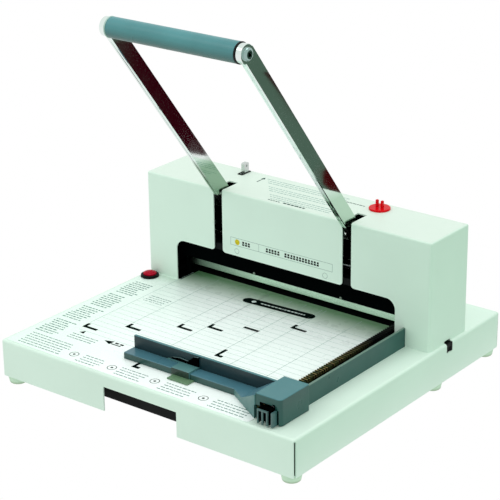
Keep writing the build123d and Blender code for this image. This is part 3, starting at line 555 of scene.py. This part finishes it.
def printed_film():
    """Pale satin film with a slight mottle, painted shade toward its left end, and a painted green shadow
    toward the clamp, where it also shines less.
    """
    color = (0.93, 1.0, 0.98)
    surface = Surface("bed_film", color, 0.30)
    surface.color(surface.mix(surface.spread(surface.noise(7.0, 3.0), 0, 1), shade(color, 0.97), color))
    # painted shade toward the left end
    surface.tint(surface.along("X", SHEET_LEFT, -60 * MM, 1.0, 0.0), (0.77, 0.92, 0.84))
    clamp_shadow_from = CUT - 62 * MM
    # painted shadow of the clamp, greenish
    surface.tint(surface.along("Y", clamp_shadow_from, CUT - 12 * MM, 0.0, 0.95), (0.085, 0.27, 0.095))
    surface.feed(surface.shader.inputs["Specular IOR Level"],
                 surface.along("Y", clamp_shadow_from, CUT - 22 * MM, 0.5, 0.04))
    surface.rough(surface.spread(surface.noise(70.0), 0.24, 0.36))
    surface.bump(surface.noise(600.0, 2.0), 0.02 * MM, 0.25)
    return surface


def ink(name, color):
    """Screen-printed ink with a slightly uneven lay."""
    surface = Surface(name, color, 0.5)
    surface.shader.inputs["Specular IOR Level"].default_value = 0.0
    surface.color(surface.mix(surface.spread(surface.noise(400.0, 3.0), 0, 1), shade(color, 0.85),
                              shade(color, 1.15)))
    surface.rough(surface.spread(surface.noise(300.0), 0.42, 0.58))
    return surface


def ground_strip():
    """Ground steel under the clamp, nearly black toward its left end."""
    surface = machined("ground_strip", (0.62, 0.84, 0.66), 0.26, ALONG_X)
    return surface.tint(surface.along("X", -155 * MM, -45 * MM, 1.0, 0.0), (0.006, 0.010, 0.007))


def rubber(name, color):
    """Pale rubber, darker toward the floor."""
    surface = Surface(name, color, 0.75)
    surface.color(surface.mix(surface.spread(surface.noise(60.0, 4.0), 0, 1), shade(color, 0.86), color))
    surface.tint(surface.along("Z", 0, 4 * MM, 0.75, 0.0), (0.22, 0.27, 0.14))
    surface.rough(surface.spread(surface.noise(150.0), 0.66, 0.84))
    surface.bump(surface.noise(900.0, 3.0), 0.06 * MM, 0.4)
    return surface


SLOTS = {
    "body_paint": painted_steel("body_coat"),
    "bed_print": printed_film(),
    "black_plastic": moulded("black_moulding", (0.002, 0.003, 0.003), 0.50, shine=0.10),
    "blue_grey_plastic": moulded("blue_grey_moulding", TEAL, 0.34),
    "dark_rack": rack_moulding(),
    "grip_grey": soft_grip(),
    "arm_steel": polished_steel(),
    "clamp_black": moulded("black_oxide", (0.001, 0.002, 0.002), 0.50, 2000.0, 0.01, 0.0),
    "clamp_steel": ground_strip(),
    "blade_steel": machined("blade_ground", (0.70, 0.74, 0.76), 0.20, ALONG_Z),
    "frame_steel": moulded("frame_coat", (0.002, 0.003, 0.003), 0.55, 1000.0, 0.04, 0.0),
    # painted shade: inner steel parts are made black so they stay dark
    "dark_steel": moulded("shade_black_steel", (0.001, 0.002, 0.002), 0.45, 1800.0, 0.01, 0.0),
    "bright_steel": machined("turned_steel", (0.66, 0.70, 0.68), 0.22, TURNED),
    "screw_zinc": machined("zinc_plate", (0.60, 0.62, 0.56), 0.30, ALONG_Y),
    "spring_steel": machined("drawn_wire", (0.42, 0.43, 0.44), 0.32, TURNED),
    "bush_bronze": machined("sintered_bronze", (0.42, 0.27, 0.12), 0.42, TURNED),
    "foot_rubber": rubber("pale_rubber", (0.62, 0.84, 0.64)),
    "red_plastic": glossy_red("red_moulding", (0.62, 0.002, 0.006), 0.08),
    # painted shade: the cutting stick is black, as it lies in the clamp's shadow
    "stick_plastic": moulded("stick_resin", (0.003, 0.004, 0.004), 0.50, shine=0.0),
    "cell_wrap": moulded("cell_wrap", (0.03, 0.05, 0.07), 0.30),
    "lead_jacket": moulded("lead_jacket", (0.35, 0.02, 0.02), 0.45),
}
ARM = arm_steel()
SPECIAL = {
    "head_shell": head_paint(),
    "base_shell": base_paint(),
    "side_fence": fence_moulding(),
    "gauge_bar": gauge_bar_moulding(),
    "gauge_carriage": gauge_carriage_moulding(),
    "gauge_lever": gauge_lever_moulding(),
    "gauge_clip": gauge_clip_moulding(),
    "handle_arm_left": ARM,
    "handle_arm_right": ARM,
    "handle_caps": cap_steel(),
    "grip_rings": grip_ring(),
    # painted shade: these inner parts take the black steel
    "hub_screws": SLOTS["dark_steel"],
    "return_springs": SLOTS["dark_steel"],
    # painted shade: a darker copy of the zinc plate
    "clamp_screws": machined("shaded_zinc", (0.26, 0.32, 0.26), 0.30, ALONG_Y),
    "switch_button": glossy_red("lamp_button", (0.42, 0.001, 0.020), 0.03),
}


def paint_cad():
    """Gives every CAD piece its own material, or else the one of its slot."""
    for part in frame["record"]["subparts"]:
        node = frame["nodes"][part["node"]]
        surface = SPECIAL.get(part["node"], SLOTS[part["material_slot"]])
        node.data.materials.clear()
        node.data.materials.append(surface.material)


# ---- printed marks ------------------------------------------------------------------------------
class Print:
    """Ink as thin closed tiles on one face. Its points are given in millimetres across the face."""

    def __init__(self, to_space, normal):
        self.mesh = bmesh.new()
        self.to_space = to_space
        self.normal = Vector(normal)

    def tile(self, points):
        low = [self.to_space(*point) + self.normal * INK_GAP for point in points]
        high = [point + self.normal * INK for point in low]
        bottom = [self.mesh.verts.new(point) for point in low]
        top = [self.mesh.verts.new(point) for point in high]
        self.mesh.faces.new(top)
        self.mesh.faces.new(list(reversed(bottom)))
        count = len(points)
        for index in range(count):
            after = (index + 1) % count
            self.mesh.faces.new((bottom[index], bottom[after], top[after], top[index]))

    def bar(self, x0, x1, y0, y1):
        self.tile([(x0, y0), (x1, y0), (x1, y1), (x0, y1)])

    def line(self, start, end, width):
        along = Vector((end[0] - start[0], end[1] - start[1])).normalized()
        side = Vector((-along.y, along.x)) * width / 2
        ends = [(start, -1), (end, -1), (end, 1), (start, 1)]
        self.tile([(point[0] + side.x * sign, point[1] + side.y * sign) for point, sign in ends])

    def ring(self, x, y, radius, width, steps=28):
        for step in range(steps):
            turns = [2 * math.pi * (step + shift) / steps for shift in (0, 1)]
            outer = [(x + radius * math.cos(turn), y + radius * math.sin(turn)) for turn in turns]
            inner = [(x + (radius - width) * math.cos(turn), y + (radius - width) * math.sin(turn))
                     for turn in reversed(turns)]
            self.tile(outer + inner)

    def disc(self, x, y, radius, steps=24):
        self.tile([(x + radius * math.cos(2 * math.pi * step / steps),
                    y + radius * math.sin(2 * math.pi * step / steps)) for step in range(steps)])

    def dashes(self, x0, x1, y, height, rng, shortest=1.6, longest=6.0):
        """A row of plain dashes that fills x0 to x1, in place of lettering."""
        x = x0
        while x < x1 - shortest:
            length = min(rng.uniform(shortest, longest), x1 - x)
            self.bar(x, x + length, y - height / 2, y + height / 2)
            x += length + rng.uniform(0.7, 1.5)

    def finish(self, name, surface, body):
        bmesh.ops.recalc_face_normals(self.mesh, faces=self.mesh.faces)
        data = bpy.data.meshes.new(name)
        self.mesh.to_mesh(data)
        self.mesh.free()
        data.materials.append(surface.material)
        piece = bpy.data.objects.new(name, data)
        bpy.context.scene.collection.objects.link(piece)
        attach(piece, body)


def on_bed(x, y):
    return Vector((x * MM, FRONT + y * MM, SHEET_TOP))


def on_head_front(x, z):
    return Vector((x * MM, HEAD_LOW.y, BED + z * MM))


def on_head_top(x, y):
    return Vector((x * MM, FRONT + y * MM, HEAD_HIGH.z))


INK_BLACK = ink("ink_black", (0.002, 0.006, 0.005))
INK_GREY = ink("ink_grey", (0.15, 0.26, 0.23))
INK_DARK = ink("ink_dark", (0.045, 0.090, 0.080))
INK_PALE = ink("ink_pale", (0.36, 0.50, 0.45))
INK_WHITE = ink("ink_white", (0.72, 0.84, 0.80))
INK_YELLOW = ink("ink_yellow", (0.62, 0.52, 0.03))
PAPER_LYING = [(297, 210), (257, 182), (210, 148), (182, 128), (148, 105), (105, 74)]
PAPER_STANDING = [(128, 182), (182, 257)]
UNCORNERED = 148                            # the lying format marked by a plain bar
RULING_END = 278                            # where the ruling passes under the clamp
FENCE_MM = FENCE / MM
CUT_MM = (CUT - FRONT) / MM
HEAD_FRONT_MM = (HEAD_LOW.y - FRONT) / MM


def corner_marks():
    """A bold corner for each paper format, measured from the fence and the cut line."""
    marks = Print(on_bed, (0, 0, 1))
    half = 2.2
    upright = 4.0
    for width, depth in PAPER_LYING:
        x, y = FENCE_MM - width, CUT_MM - depth
        marks.bar(x, x + 21, y - half, y + half)
        if width != UNCORNERED:
            marks.bar(x, x + upright, y + half, y + 9)
    for width, depth in PAPER_STANDING:
        x, y = FENCE_MM - width, CUT_MM - depth
        marks.bar(x, x + 10, y - half, y + half)
        marks.bar(x, x + upright, y + half, y + 18)
    # the lever arrow and the two small blocks beside it
    marks.tile([(-108, 66), (-97, 61), (-96, 70)])
    marks.bar(-96, -82, 62.5, 64.3)
    marks.bar(-93, -88, 66.0, 69.0)
    marks.bar(-86, -81, 66.0, 69.0)
    marks.tile([(-146, 66), (-139, 65), (-141, 72)])
    marks.finish("bed_corner_marks", INK_BLACK, "base")


def bed_grid():
    """Fine lines for the paper formats, and a close ruling across the bed."""
    grid = Print(on_bed, (0, 0, 1))
    for width, depth in PAPER_LYING:
        grid.line((FENCE_MM - width, CUT_MM - depth + 11), (FENCE_MM - width, RULING_END), 0.6)
    for width, depth in PAPER_STANDING:
        grid.line((FENCE_MM - width, CUT_MM - depth + 20), (FENCE_MM - width, RULING_END), 0.6)
    for x in (43.4, 93.0):
        grid.line((x, 70), (x, RULING_END), 0.6)
    for row in range(21):
        y = 72 + 10 * row
        if y < HEAD_FRONT_MM - 4:
            grid.line((-152, y), (SHEET_RIGHT / MM - 2, y), 0.42)
    grid.finish("bed_grid_lines", INK_PALE, "base")


def bed_notes():
    """Rows of dashes in the margins, where the machine has its printed directions."""
    rng = random.Random(11)
    notes = Print(on_bed, (0, 0, 1))
    left = SHEET_LEFT / MM + 5
    for row in range(36):
        y = 44 + 5.0 * row
        if row % 9 != 8:
            notes.dashes(left + rng.uniform(0, 4), -162 - rng.uniform(0, 8), y, 1.8, rng)
    for row in range(6):
        y = 9 + 5.2 * row
        for start, end in ((-188, -122), (-100, -66), (-46, -6), (16, 60), (84, 136)):
            if row > 3 and start > -120:
                continue
            notes.dashes(start + rng.uniform(0, 3), end - rng.uniform(0, 6), y, 1.4, rng)
    for row in range(3):
        notes.dashes(-150, -112, 50 + 5 * row, 1.4, rng)
    for row in range(4):
        notes.dashes(-148, -118, 178 + 5 * row, 1.1, rng)
    notes.finish("bed_margin_notes", INK_GREY, "base")


def bed_rings():
    """Plain rings with a dot, one beside each block of notes along the front."""
    rings = Print(on_bed, (0, 0, 1))
    for x, y in ((-110, 19), (-54, 18), (5, 20), (72, 19)):
        rings.ring(x, y, 5.6, 0.8)
        rings.disc(x, y, 1.6)
    rings.finish("bed_step_rings", INK_BLACK, "base")


def bed_label():
    """Dark rounded bar in front of the clamp, with a pale disc and dashes on it."""
    low, high = (-48, 249.6), (37, 254.0)
    half = 6.8
    arc_steps = 8
    bar = Print(on_bed, (0, 0, 1))
    along = Vector((high[0] - low[0], high[1] - low[1])).normalized()
    side = Vector((-along.y, along.x))
    outline = []
    for end, sign in ((high, 1), (low, -1)):
        for step in range(arc_steps + 1):
            turn = math.radians(-90 + 180 * step / arc_steps)
            reach = along * math.cos(turn) * sign + side * math.sin(turn) * sign
            outline.append((end[0] + reach.x * half, end[1] + reach.y * half))
    bar.tile(outline)
    bar.finish("bed_label_bar", INK_BLACK, "base")

    def above(x, y):
        return on_bed(x, y) + Vector((0, 0, INK + INK_GAP))
    pale = Print(above, (0, 0, 1))
    slope = along.y / along.x
    pale.disc(low[0] + 8, low[1] + 8 * slope, 2.8)
    rng = random.Random(5)
    x = low[0] + 18
    while x < high[0] - 6:
        length = rng.uniform(1.5, 4.5)
        y = low[1] + (x - low[0]) * slope
        pale.bar(x, x + length, y - 1.0, y + 1.0)
        x += length + 1.1
    pale.finish("bed_label_dashes", INK_WHITE, "base")


def head_label():
    """Plain framed label on the middle of the head, with dashes in place of words."""
    rng = random.Random(3)
    x0, x1 = -74, 71
    z0, z1 = 64.2, 73.8
    rule = 0.35
    letter, pitch = 3.1, 4.1
    frame_lines = Print(on_head_front, (0, -1, 0))
    frame_lines.bar(x0, x1, z0, z0 + rule)
    frame_lines.bar(x0, x1, z1 - rule, z1)
    for x in (x0, -33, x1 - rule):
        frame_lines.bar(x, x + rule, z0 + rule, z1 - rule)
    frame_lines.ring(-65, 57.6, 3.2, 0.35)
    frame_lines.ring(60.7, 57.6, 3.4, 0.35)
    frame_lines.finish("head_label_frame", INK_GREY, "base")
    words = Print(on_head_front, (0, -1, 0))
    for start, end in ((-57, -44), (-22.7, -1), (4, 54)):
        x = start
        while x < end - 2:
            words.bar(x, x + letter, 66.4, 68.4)
            words.bar(x + rng.uniform(0, 0.6), x + letter - 0.2, 69.0, 71.4)
            x += pitch
    words.finish("head_label_dashes", INK_BLACK, "base")
    dot = Print(on_head_front, (0, -1, 0))
    dot.disc(-64.2, 68.9, 3.5)
    dot.finish("head_label_dot", INK_YELLOW, "base")


def head_top_notes():
    """Rows of dashes on top of the head, with a plain arrow at their left."""
    rng = random.Random(8)
    notes = Print(on_head_top, (0, 0, 1))
    for row in range(11):
        y = 262 + 5.0 * row
        start = -24 - 4.2 * row
        if row % 4 != 3:
            notes.dashes(max(start, -66), 60 - 0.8 * row, y, 1.7, rng)
    notes.finish("head_top_notes", INK_PALE, "base")
    bold = Print(on_head_top, (0, 0, 1))
    bold.dashes(-24, -6, 257.4, 1.8, rng, 1.2, 3.0)
    bold.dashes(-2.5, 28, 257.7, 2.8, rng, 3.0, 6.0)
    bold.line((-70.4, 297), (-70.4, 309), 1.3)
    bold.tile([(-73.0, 308.5), (-67.8, 308.5), (-70.4, 314)])
    bold.dashes(52, 78, 303, 1.6, rng, 2.0, 5.0)
    bold.finish("head_top_heading", INK_DARK, "base")


add_camera()
add_stage()
add_light()
paint_cad()
corner_marks()
bed_grid()
bed_notes()
bed_rings()
bed_label()
head_label()
head_top_notes()
